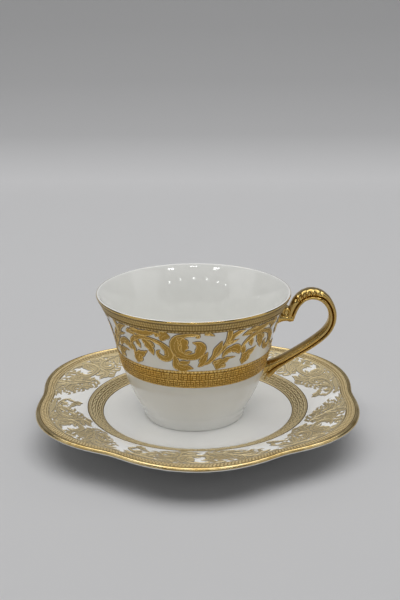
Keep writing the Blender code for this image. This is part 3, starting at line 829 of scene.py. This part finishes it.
def make_cup_bands(finish):
    top = CUP_H - 1.2 * MM
    low = rim_band_low.z - FOOT_Z
    mats = [finish["soft"], finish["bright"], finish["dark"], finish["rich"]]
    rows = [
        (top, -0.1 * MM, 0), (top, 0.08 * MM, 0), (top - 0.4 * MM, 0.12 * MM, 2),
        (top - 0.5 * MM, 0.04 * MM, 2), (top - 0.7 * MM, 0.04 * MM, 0),
        (low + 1.5 * MM, 0.04 * MM, 2), (low + 1.4 * MM, 0.01 * MM, 2), (low + 1.15 * MM, 0.01 * MM, 2),
        (low + 1.05 * MM, 0.08 * MM, 0), (low + 0.25 * MM, 0.08 * MM, 2),
        (low - 0.2 * MM, 0.02 * MM, 2), (low - 0.2 * MM, -0.1 * MM, 0),
    ]
    band_on("cup_rim_band_ring", on_cup, 160, rows, "cup", "cup_rim_band", mats)
    studs("cup_rim_band_fret", on_cup, "cup", RIM_BARS, 112, low + 1.5 * MM, top - 0.55 * MM,
          0.2 * MM, finish["soft_bar"])
    studs("cup_rim_band_beads", on_cup, "cup", RIB, 168, low + 0.3 * MM, low + 1.0 * MM,
          0.3 * MM, finish["soft_bar"])
    top = waist_high.z - FOOT_Z
    low = waist_low.z - FOOT_Z - 0.7 * MM
    rows = [
        (top + 0.25 * MM, -0.1 * MM, 2), (top + 0.25 * MM, 0.05 * MM, 0), (top, 0.14 * MM, 0),
        (top - 0.75 * MM, 0.14 * MM, 2), (top - 0.8 * MM, 0.06 * MM, 2), (top - 1.35 * MM, 0.06 * MM, 1),
        (low + 0.75 * MM, 0.06 * MM, 2), (low + 0.6 * MM, 0.06 * MM, 0),
        (low + 0.5 * MM, 0.2 * MM, 0), (low + 0.1 * MM, 0.2 * MM, 2), (low - 0.1 * MM, 0.02 * MM, 2),
        (low - 0.1 * MM, -0.1 * MM, 2),
    ]
    mats = [finish["rich"], finish["base"], finish["dark"]]
    band_on("cup_waist_band_ring", on_cup, 160, rows, "cup", "cup_waist_band", mats)
    studs("cup_waist_beads", on_cup, "cup", RIB, 132, top - 0.8 * MM, top + 0.15 * MM,
          0.45 * MM, finish["bright"])
    studs("cup_waist_fret", on_cup, "cup", KEYS, 56, low + 0.7 * MM, top - 1.3 * MM,
          0.2 * MM, finish["rich"])


def make_lip_gilding(finish):
    """Gold over the outer half of the lip."""
    def lip(angle, turn_angle, lift):
        r, z = on_lip(turn_angle, lift)
        return np.stack([CUP_X + r * np.cos(angle), r * np.sin(angle), FOOT_Z + z], -1)
    steps = np.linspace(radians(80), radians(-12), 8)
    rows = [(steps[0], -0.05 * MM, 0)] + [(a, 0.06 * MM, 0) for a in steps] + [(steps[-1], -0.05 * MM, 0)]
    band_on("cup_lip_line", lip, 192, rows, "cup", "cup_lip_gilding", [finish["polished"]])


def make_saucer_bands(finish):
    mats = [finish["fret_shade"], finish["light"], finish["dark"], finish["fret_light"], finish["rim"]]
    edge = SAUCER_R - 1.2 * MM
    inner = 73.2 * MM
    rows = [
        (inner - 0.5 * MM, -0.1 * MM, 2), (inner - 0.5 * MM, 0.05 * MM, 0),
        (inner + 0.4 * MM, 0.06 * MM, 3), (inner + 0.5 * MM, 0.16 * MM, 3),
        (inner + 1.0 * MM, 0.16 * MM, 0), (inner + 1.1 * MM, 0.05 * MM, 0),
        (edge - 1.8 * MM, 0.05 * MM, 3), (edge - 1.7 * MM, 0.14 * MM, 3), (edge - 1.4 * MM, 0.14 * MM, 2),
        (edge - 1.3 * MM, 0.04 * MM, 2), (edge - 1.0 * MM, 0.05 * MM, 4),
        (edge - 0.8 * MM, 0.2 * MM, 4), (edge - 0.1 * MM, 0.22 * MM, 4),
        (edge + 0.1 * MM, 0.1 * MM, 4), (edge + 0.1 * MM, -0.1 * MM, 4),
    ]
    band_on("saucer_edge_band_ring", on_saucer, 288, rows, "saucer", "saucer_edge_band", mats)
    studs("saucer_edge_beads", on_saucer, "saucer", ROPE, 300, inner + 1.15 * MM,
          edge - 1.85 * MM, 0.3 * MM, finish["fret_light"])
    low, high = BAND_R, BAND_OUT_R
    rows = [
        (low, -0.1 * MM, 2), (low, 0.05 * MM, 2),
        (low + 0.35 * MM, 0.05 * MM, 3), (low + 0.45 * MM, 0.16 * MM, 3),
        (low + 0.9 * MM, 0.16 * MM, 0), (low + 1.0 * MM, 0.04 * MM, 0),
        (high - 1.0 * MM, 0.04 * MM, 3), (high - 0.9 * MM, 0.16 * MM, 3),
        (high - 0.45 * MM, 0.16 * MM, 2), (high - 0.35 * MM, 0.05 * MM, 2), (high, 0.05 * MM, 2),
        (high, -0.1 * MM, 2),
    ]
    band_on("saucer_well_band_ring", on_saucer, 240, rows, "saucer", "saucer_well_band", mats)
    studs("saucer_well_fret", on_saucer, "saucer", KEYS, 66, low + 1.05 * MM, high - 1.05 * MM,
          0.15 * MM, finish["light"])


def make_edge_gilding(finish):
    """Gold over the nose of the saucer's edge, its colour patched dark and bright as painted reflections.
    Under it the lip stays white.
    """
    def nose(angle, turn_angle, lift):
        lip = 1.0 * MM
        edge = SAUCER_R - 0.35 * MM
        r = edge - lip + (lip + lift) * np.cos(turn_angle)
        z = saucer_height(edge) - lip + (lip + lift) * np.sin(turn_angle)
        r = r + lobe_shift(r, angle)
        return np.stack([r * np.cos(angle), r * np.sin(angle), z + 0 * angle], -1)
    start, end = radians(125), radians(-5)
    steps = np.linspace(start, end, 8)
    rows = [(steps[0], -0.05 * MM, 0)] + [(a, 0.12 * MM, 0) for a in steps] + [(steps[-1], -0.05 * MM, 0)]
    band_on("saucer_edge_line", nose, 240, rows, "saucer", "saucer_edge_gilding", [finish["edge_glint_gold"]])


# ---- Saucer scrollwork ----------------------------------------------------------------------

# the ground of small leaves on one lobe: stems as (degrees from the lobe's middle, radius in mm)
SAUCER_LEAVES = (
    *sprig(((10, 73.0), (2, 72.8), (-6, 73.1), (-13, 72.8), (-20, 73.1), (-27, 73.2)),
           0.5, 7, 3.8, 1.0, (1,)),
    *sprig(((14, 73.0), (19, 72.8), (24, 73.0), (28.6, 73.2)), 0.5, 4, 3.8, 1.0, (-1,)),
    *sprig(((-2, 57.0), (-7, 57.6), (-12, 59.0), (-18, 61.6), (-25.0, 66.6)), 0.5, 8, 4.4, 0.95),
    *sprig(((3, 57.0), (9, 57.4), (15, 59.2), (20.4, 62.2), (26.0, 66.8)), 0.5, 8, 4.4, 0.95),
    *sprig(((-3, 62.0), (-7, 64.6), (-12, 66.6), (-19, 68.4), (-28, 71.0)), 0.5, 9, 4.6, 0.95),
    *sprig(((6, 61.6), (10, 64.6), (15, 67.0), (21, 69.0), (28.4, 71.4)), 0.5, 9, 4.6, 0.95),
    *sprig(((-1, 66.5), (-6, 68.2), (-12, 70.2), (-18, 71.4), (-24, 72.2)), 0.5, 7, 4.4, 0.95),
    *sprig(((2, 66.5), (8, 68.2), (14, 70.2), (20, 71.4), (25, 72.4)), 0.5, 7, 4.4, 0.95),
    *sprig(((0, 59.5), (-5, 61.0), (-10, 63.0), (-16, 65.0), (-22, 68.5)), 0.5, 7, 4.4, 0.95),
    *sprig(((2, 59.5), (7, 61.2), (12, 63.2), (17, 65.4), (22, 68.8)), 0.5, 7, 4.4, 0.95),
)


def saucer_place(turn):
    """Lays flat leaf points on the saucer's flange, turned round it."""
    def place(flat):
        angle = np.radians(flat[:, 0] / SAUCER_ARC + turn)
        return on_saucer(angle, flat[:, 1] * MM, flat[:, 2] * MM)
    return place


SCROLL_MIDDLE = -92.5  # degrees, the middle of one repeat of the cup's scroll
SCROLL_LOW = 35.6  # mm, the lowest leaf's height on the cup
FLANGE_LOW = 55.6  # mm, the radius where the saucer's scroll begins
SPREAD = 0.66  # how the cup's degrees and heights shrink on the flange
GROW = 0.88
SLIM = 0.72


def onto_flange(points):
    """Turns the cup's angle and height into the saucer's angle and radius."""
    return [((angle - SCROLL_MIDDLE) * SPREAD * SAUCER_ARC, FLANGE_LOW + (height - SCROLL_LOW) * GROW)
            for angle, height in points]


def make_saucer_scroll(finish):
    """The cup's scroll again on each lobe, over a ground of small leaves."""
    for k in range(LOBES):
        store = dict(points=[], faces=[], slots=[])
        turn = 30 + 60 * k
        for points, widths, lobes, depth in SAUCER_LEAVES:
            flat = [(p[0] * SAUCER_ARC, p[1]) for p in points]
            rows = leaf_rows(flat, widths, lobes, depth, UNDER_STYLE)
            add_leaf(store, rows, saucer_place(turn), UNDER_SLOTS)
        for points, widths, lobes, depth in CUP_LEAVES:
            slim = [SLIM * w for w in widths]
            rows = leaf_rows(onto_flange(points), slim, lobes, depth, SAUCER_STYLE)
            add_leaf(store, rows, saucer_place(turn))
        for points, _ in CUP_VEINS:
            add_vein(store, onto_flange(points), 0.14, 0.36, saucer_place(turn), SHADE)
        materials = [finish["taupe"], finish["light"], finish["pale"], finish["ground"]]
        obj = new_object(
            f"saucer_scrollwork_{k + 1}", store["points"], store["faces"], materials, store["slots"])
        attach(obj, "saucer")
        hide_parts(f"saucer_scroll_{k + 1}")


# ---- Handle ---------------------------------------------------------------------------------

# the strap from its head to its lower end: out from the cup's axis, height, width in the plane of
# the loop, half width to the side, and where across it the groove lies, in millimetres
STRAP = (
    (45.2, 45.9, 1.6, 1.2, 0.60),
    (45.5, 47.4, 3.6, 2.2, 0.60),
    (46.0, 49.6, 4.1, 2.6, 0.62),
    (46.9, 52.6, 4.5, 2.9, 0.66),
    (48.6, 55.8, 4.9, 3.2, 0.68),
    (51.3, 58.4, 5.2, 3.3, 0.68),
    (54.8, 59.6, 5.3, 3.3, 0.66),
    (58.6, 59.0, 5.0, 3.2, 0.60),
    (61.8, 56.9, 4.4, 3.1, 0.52),
    (64.2, 53.4, 3.9, 3.0, 0.50),
    (65.3, 49.4, 3.8, 3.0, 0.47),
    (64.9, 45.4, 3.9, 3.0, 0.42),
    (63.0, 41.6, 4.2, 3.0, 0.38),
    (59.8, 38.2, 4.4, 3.0, 0.35),
    (54.6, 34.2, 4.4, 3.0, 0.34),
    (48.6, 30.3, 4.3, 3.0, 0.34),
    (42.0, 26.2, 4.6, 3.0, 0.34),
    (38.2, 24.0, 5.6, 3.0, 0.34),
    (35.9, 22.4, 7.2, 2.9, 0.34),
    (33.6, 20.9, 8.6, 2.7, 0.34),
)


def strap_section(width, half, groove, rope=0.0, phase=0.0):
    """A closed loop of (across the strap in its plane, out to the side): two lobes and a groove."""
    split = (groove - 0.5) * width
    loop = []
    for side in (1, -1):
        arc = []
        for low, high in ((-width / 2, split), (split, width / 2)):
            middle, reach = (low + high) / 2, (high - low) / 2
            share = 0.55 + 0.45 * min(1.0, 2 * reach / (0.62 * width))
            for a in np.linspace(pi * 0.985, pi * 0.015, 13):
                x = middle + reach * cos(a)
                y = half * share * sin(a) ** 0.55
                if rope and low < split - 1e-9:
                    twist = max(0.0, sin(phase + 1.1 * x)) ** 0.6
                    y *= 1 + rope * (twist - 0.6) * sin(a)
                arc.append((x, y))
        if side < 0:
            arc = arc[::-1]
        loop += [(x, side * y) for x, y in arc]
    return loop


def turned_sideways(name, profile, segments, centre, materials):
    """A small solid turned about a line across the handle, from a (radius, out to the side) profile."""
    obj = thrown(name, [(0.0, profile[0][1]), *profile], segments, (0, 0, 0), materials)
    only(obj)
    bpy.ops.transform.rotate(value=pi / 2, orient_axis="X", center_override=(0, 0, 0))
    bpy.ops.transform.translate(value=centre)
    bpy.ops.object.transform_apply(location=True, rotation=True, scale=True)
    return obj


def make_volute(finish):
    """The rolled scroll at the head of the handle, with a ring sunk into each face."""
    half = (
        (0.25, 3.30), (0.75, 3.25), (0.95, 2.85), (1.15, 2.75), (1.40, 3.00), (1.75, 3.05), (2.10, 2.60),
        (2.20, 1.80), (2.10, 0.80), (2.05, 0.0),
    )
    profile = [(r * MM, y * MM) for r, y in half] + [(r * MM, -y * MM) for r, y in half[-2::-1]]
    centre = (CUP_X + 43.4 * MM, 0, FOOT_Z + 51.2 * MM)
    obj = turned_sideways("cup_handle_volute", profile, 28, centre, [finish["polished"]])
    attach(obj, "cup")


def make_end_beads(finish):
    """The row of small beads where the strap's lower end meets the wall, on both sides."""
    ends = smooth_line(((36.4, 25.6), (35.7, 23.6), (35.0, 21.4), (34.2, 19.2), (33.6, 17.6)), 3)
    round_bead = ((0.05, 0.42), (0.30, 0.30), (0.42, 0.0), (0.30, -0.30), (0.05, -0.42))
    profile = [(r * MM, out * MM) for r, out in round_bead]
    for side, word in ((1, "far"), (-1, "near")):
        centre = (CUP_X + ends[0][0] * MM, 2.75 * side * MM, FOOT_Z + ends[0][1] * MM)
        bead = turned_sideways(f"cup_handle_beads_{word}", profile, 8, centre, [finish["polished"]])
        twins = []
        for x, z in ends[1:]:
            twin = bead.copy()
            twin.data = bead.data.copy()
            twin.location = ((x - ends[0][0]) * MM, 0, (z - ends[0][1]) * MM)
            bpy.context.scene.collection.objects.link(twin)
            twins.append(twin)
        obj = joined(bead, twins)
        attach(obj, "cup")


def stopped_in_wall(points):
    """Brings points that would come out inside the bowl back to 0.6 mm under the wall's outer skin."""
    kept = []
    for x, y, z in points:
        depth_r = np.interp(z - FOOT_Z, WALL_HEIGHTS, WALL_RADII) - 0.6 * MM
        if hypot(x - CUP_X, y) < depth_r:
            x = CUP_X + sqrt(depth_r ** 2 - y ** 2)
        kept.append((x, y, z))
    return kept


# the upper root from the wall to its spur: out from the axis, height, depth and half width
ROOT = (
    (37.9, 46.9, 7.4, 1.9), (40.2, 47.6, 5.0, 2.1), (42.6, 47.9, 3.8, 2.3), (44.8, 47.9, 3.9, 2.4),
    (46.2, 47.7, 3.7, 2.3), (47.0, 47.2, 2.4, 1.7),
)
# the faces at the groove on each side take the painted shade of the slit
SLIT_SHADE_COLUMNS = (11, 12, 13, 37, 38, 39)  # faces across the strap, at the groove on each side


def make_strap(finish):
    line = smooth_line(STRAP, 16)
    way = np.gradient(line[:, :2], axis=0)
    way /= np.hypot(way[:, 0], way[:, 1])[:, None]
    run = np.concatenate([[0], np.cumsum(np.hypot(*np.diff(line[:, :2], axis=0).T))])
    points = []
    for (x, z, width, half, groove), (wx, wz), gone in zip(line, way, run):
        # the strap's outer side comes first across it
        rope = 0.34 * max(0.0, min(1.0, (gone - 10.0) / 1.5, (23.5 - gone) / 3.0))
        for across, side in strap_section(width, half, groove, rope, 2 * pi * gone / 2.2):
            points.append((CUP_X + (x + wz * across) * MM, side * MM, FOOT_Z + (z - wx * across) * MM))
    columns = len(points) // len(line)
    faces = ring_faces(len(line), columns, wrap_rows=False)
    # the arch with its rope is polished, the rest of the strap has a softer shine
    slots = [0 if 9.0 < run[i] < 25.0 else 1 for i in range(len(line) - 1) for _ in range(columns)] + [1, 1]
    faces.append(tuple(range(columns - 1, -1, -1)))
    faces.append(tuple(range(len(points) - columns, len(points))))
    # the slit between the two lobes is painted dark, as painted shade in the groove
    for i in range(len(line) - 1):
        for j in SLIT_SHADE_COLUMNS:
            slots[i * columns + j] = 2
    obj = new_object("cup_handle_strap", stopped_in_wall(points), faces,
                     [finish["polished"], finish["satin"], finish["slit_shade"]], slots)
    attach(obj, "cup")
    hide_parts("cup_handle")


def make_root(finish):
    root = smooth_line(ROOT, 7)
    points = []
    for x, z, width, half in root:
        for a in np.linspace(0, 2 * pi, 20, endpoint=False):
            points.append((CUP_X + x * MM, half * sin(a) * MM, FOOT_Z + (z + width / 2 * cos(a)) * MM))
    faces = ring_faces(len(root), 20, wrap_rows=False)
    faces.append(tuple(range(19, -1, -1)))
    faces.append(tuple(range(len(points) - 20, len(points))))
    obj = new_object("cup_handle_root", stopped_in_wall(points), faces, [finish["polished"]])
    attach(obj, "cup")


def make_handle(finish):
    make_strap(finish)
    make_root(finish)
    make_volute(finish)
    make_end_beads(finish)


# ---- Stage ----------------------------------------------------------------------------------

SWEEP_GREY = (0.655, 0.655, 0.662)
# painted light and shade: the sweep's colour lifts a little at the foot of the bend and darkens as it
# rises, as (height share, share of its grey)
SWEEP_SHADE_STOPS = ((0.0, 1.0), (0.03, 1.04), (0.18, 0.76), (0.42, 0.63), (0.70, 0.57))


def make_stage():
    """A pale sweep: a floor that curves up into a backdrop, its colour darkening as it rises as painted
    shade.
    """
    bend_y, bend_r = 0.48, 0.42
    profile = [(-3.0, 0.0), (-0.5, 0.0), (0.2, 0.0)]
    profile += [(bend_y + bend_r * sin(a), bend_r * (1 - cos(a))) for a in np.linspace(0, pi / 2, 24)]
    profile += [(bend_y + bend_r, 3.0)]
    points = [(x, y, z) for y, z in profile for x in (-4.0, 4.0)]
    faces = [(2 * i, 2 * i + 1, 2 * i + 3, 2 * i + 2) for i in range(len(profile) - 1)]
    mesh = bpy.data.meshes.new("sweep")
    mesh.from_pydata(points, [], faces)
    sweep = bpy.data.objects.new("sweep", mesh)
    bpy.context.scene.collection.objects.link(sweep)
    only(sweep)
    bpy.ops.object.shade_smooth()
    mat = new_material("pale_sweep", (0.46, 0.46, 0.465), 0.6)
    tree = mat.node_tree
    place = node(mat, "ShaderNodeTexCoord")
    split = node(mat, "ShaderNodeSeparateXYZ")
    ramp = node(mat, "ShaderNodeValToRGB")
    rise = node(mat, "ShaderNodeMapRange")
    rise.inputs["From Max"].default_value = 0.2
    tree.links.new(place.outputs["Object"], split.inputs["Vector"])
    tree.links.new(split.outputs["Z"], rise.inputs["Value"])
    tree.links.new(rise.outputs["Result"], ramp.inputs["Fac"])
    tree.links.new(ramp.outputs["Color"], tree.nodes["Principled BSDF"].inputs["Base Color"])
    while len(ramp.color_ramp.elements) < len(SWEEP_SHADE_STOPS):
        ramp.color_ramp.elements.new(0.5)
    for element, (at, share) in zip(ramp.color_ramp.elements, SWEEP_SHADE_STOPS):
        element.position = at
        element.color = (*[grey * share for grey in SWEEP_GREY], 1)
    mesh.materials.append(mat)
    world = bpy.data.worlds.new("studio")
    world.use_nodes = True
    world.node_tree.nodes["Background"].inputs["Color"].default_value = (0.80, 0.80, 0.82, 1)
    world.node_tree.nodes["Background"].inputs["Strength"].default_value = 0.12
    bpy.context.scene.world = world
    bpy.context.scene.view_settings.view_transform = "Standard"


def area_light(name, place, aim, size, power):
    data = bpy.data.lights.new(name, "AREA")
    data.shape = "RECTANGLE"
    data.size, data.size_y = size
    data.energy = power
    light = bpy.data.objects.new(name, data)
    light.location = place
    light.rotation_euler = (Vector(aim) - Vector(place)).to_track_quat("-Z", "Y").to_euler()
    bpy.context.scene.collection.objects.link(light)
    return light


def make_lights():
    """An overhead softbox, fills that light only the china, and the lamps mirrored in its glaze."""
    takers = {word: bpy.data.collections.new(word) for word in ("china", "glazed", "gilt", "well")}
    for obj in bpy.context.scene.collection.objects:
        if obj.type != "MESH" or obj.name == "sweep":
            continue
        takers["china"].objects.link(obj)
        glazed = obj.name in ("cup_bowl_body", "saucer_body")
        takers["glazed" if glazed else "gilt"].objects.link(obj)
        if obj.name == "saucer_body":
            takers["well"].objects.link(obj)
    china = takers["china"]
    area_light("overhead", (0.0, 0.35, 1.5), (0, 0, 0), (2.6, 1.9), 31.5)
    # the glaze takes the same fill as the gold but softly, with no window in its shine
    fills = (
        ("gilt_fill", (0.0, -1.1, 0.95), (1.3, 0.8), 3.05, "gilt", True),
        ("glaze_fill", (0.0, -1.1, 0.95), (1.3, 0.8), 3.6, "glazed", False),
        ("well_fill", (0.0, -0.7, 1.3), (1.0, 0.6), 1.6, "well", False),
        ("left_fill", (-1.1, -0.35, 0.5), (0.8, 0.8), 1.4, "china", True),
        ("right_fill", (1.1, -0.35, 0.5), (0.8, 0.8), 1.4, "china", True),
    )
    for name, place, size, power, taker, mirrored in fills:
        light = area_light(name, place, (0, 0, 0.02), size, power)
        light.visible_glossy = mirrored
        light.light_linking.receiver_collection = takers[taker]
    # the room's ceiling lamps, far enough off to show as small bright dots in the glaze
    for column in range(3):
        place = ((column - 1) * 0.95, -1.4, 1.6)
        strip = area_light(f"strip_{column}", place, (0, 0, 0), (0.26, 0.07), 1.0)
        strip.light_linking.receiver_collection = china
    for column in range(7):
        data = bpy.data.lights.new(f"lamp_{column}", "POINT")
        data.energy = 1.8
        data.shadow_soft_size = 0.06
        light = bpy.data.objects.new(data.name, data)
        light.location = ((column - 3) * 0.85, -2.4, 1.6)
        bpy.context.scene.collection.objects.link(light)
        light.light_linking.receiver_collection = china


CAMERA_PLACE = (0.00137, -0.46255, 0.21481)
CAMERA_DOWN = 18.21  # degrees
CAMERA_ROLL = -0.31


def make_camera():
    data = bpy.data.cameras.new("camera")
    data.lens = 62.3
    data.sensor_width = 36
    data.clip_end = 50
    camera = bpy.data.objects.new("camera", data)
    tilt = Matrix.Rotation(radians(90 - CAMERA_DOWN), 4, "X")
    roll = Matrix.Rotation(radians(CAMERA_ROLL), 4, "Z")
    camera.matrix_world = Matrix.Translation(CAMERA_PLACE) @ tilt @ roll
    bpy.context.scene.collection.objects.link(camera)
    bpy.context.scene.camera = camera


finishes = make_finishes()
make_camera()
make_stage()
make_saucer(finishes)
make_bowl(finishes)
make_lip_gilding(finishes)
make_cup_bands(finishes)
make_cup_scroll(finishes)
make_handle(finishes)
make_saucer_bands(finishes)
make_edge_gilding(finishes)
make_saucer_scroll(finishes)
make_lights()
